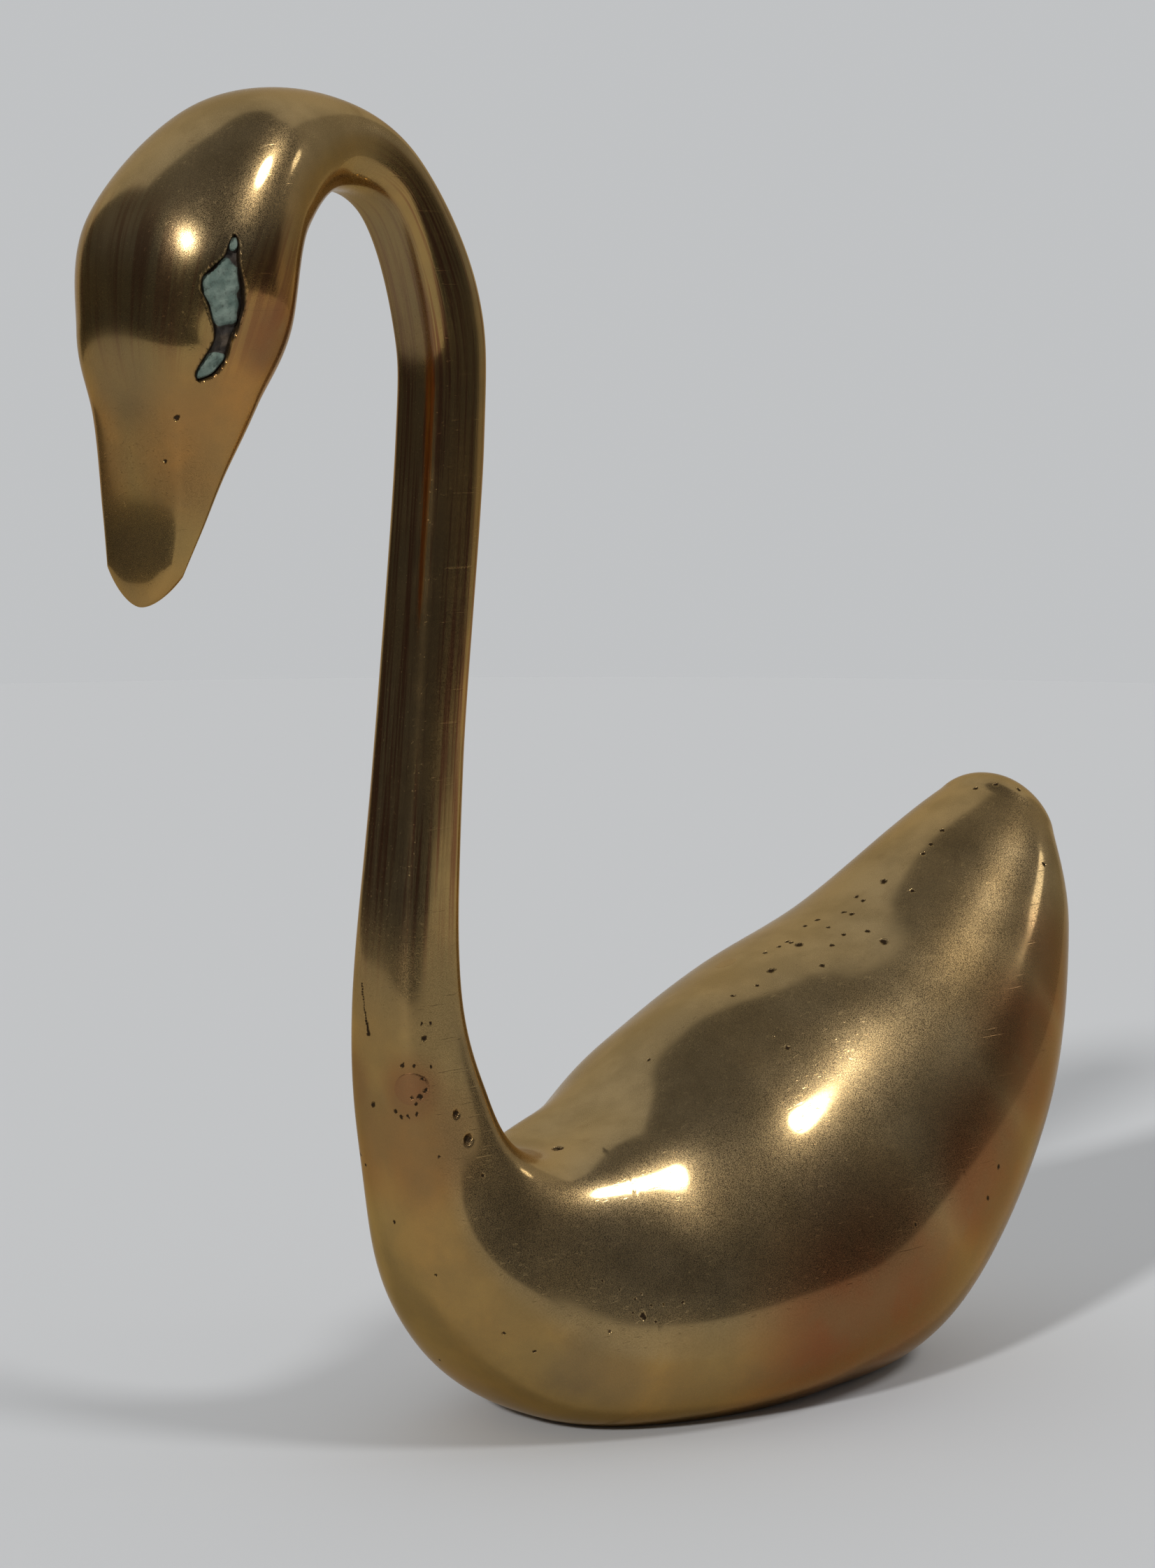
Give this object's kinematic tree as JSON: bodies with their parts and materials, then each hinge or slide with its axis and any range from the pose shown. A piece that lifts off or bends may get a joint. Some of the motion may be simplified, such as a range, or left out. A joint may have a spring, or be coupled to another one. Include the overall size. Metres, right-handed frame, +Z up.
{
  "type": "swan figurine",
  "caption": "Polished brass swan figurine with a hollow cast body, an upswept tail, a tall square-edged neck bent into a hook and a bowed head with filled eye hollows.",
  "frame": {"origin": "on the surface that the swan stands on, under the middle of its outline", "axes": "+Z up, -X the way the swan looks, -Y its left side"},
  "size_m": [0.126, 0.0458, 0.1299],
  "materials": {
    "brass": "worn polish with pits and scratches",
    "pin_brass": "filed flush, slightly redder",
    "eye_fill": "matt blue-green crust"
  },
  "bodies": {
    "root": {"body_shell": "brass", "neck_bar": "brass", "head": "brass", "neck_pin": "pin_brass", "back_plug": "brass", "left_eye_fill": "eye_fill", "right_eye_fill": "eye_fill"}
  },
  "joints": []
}
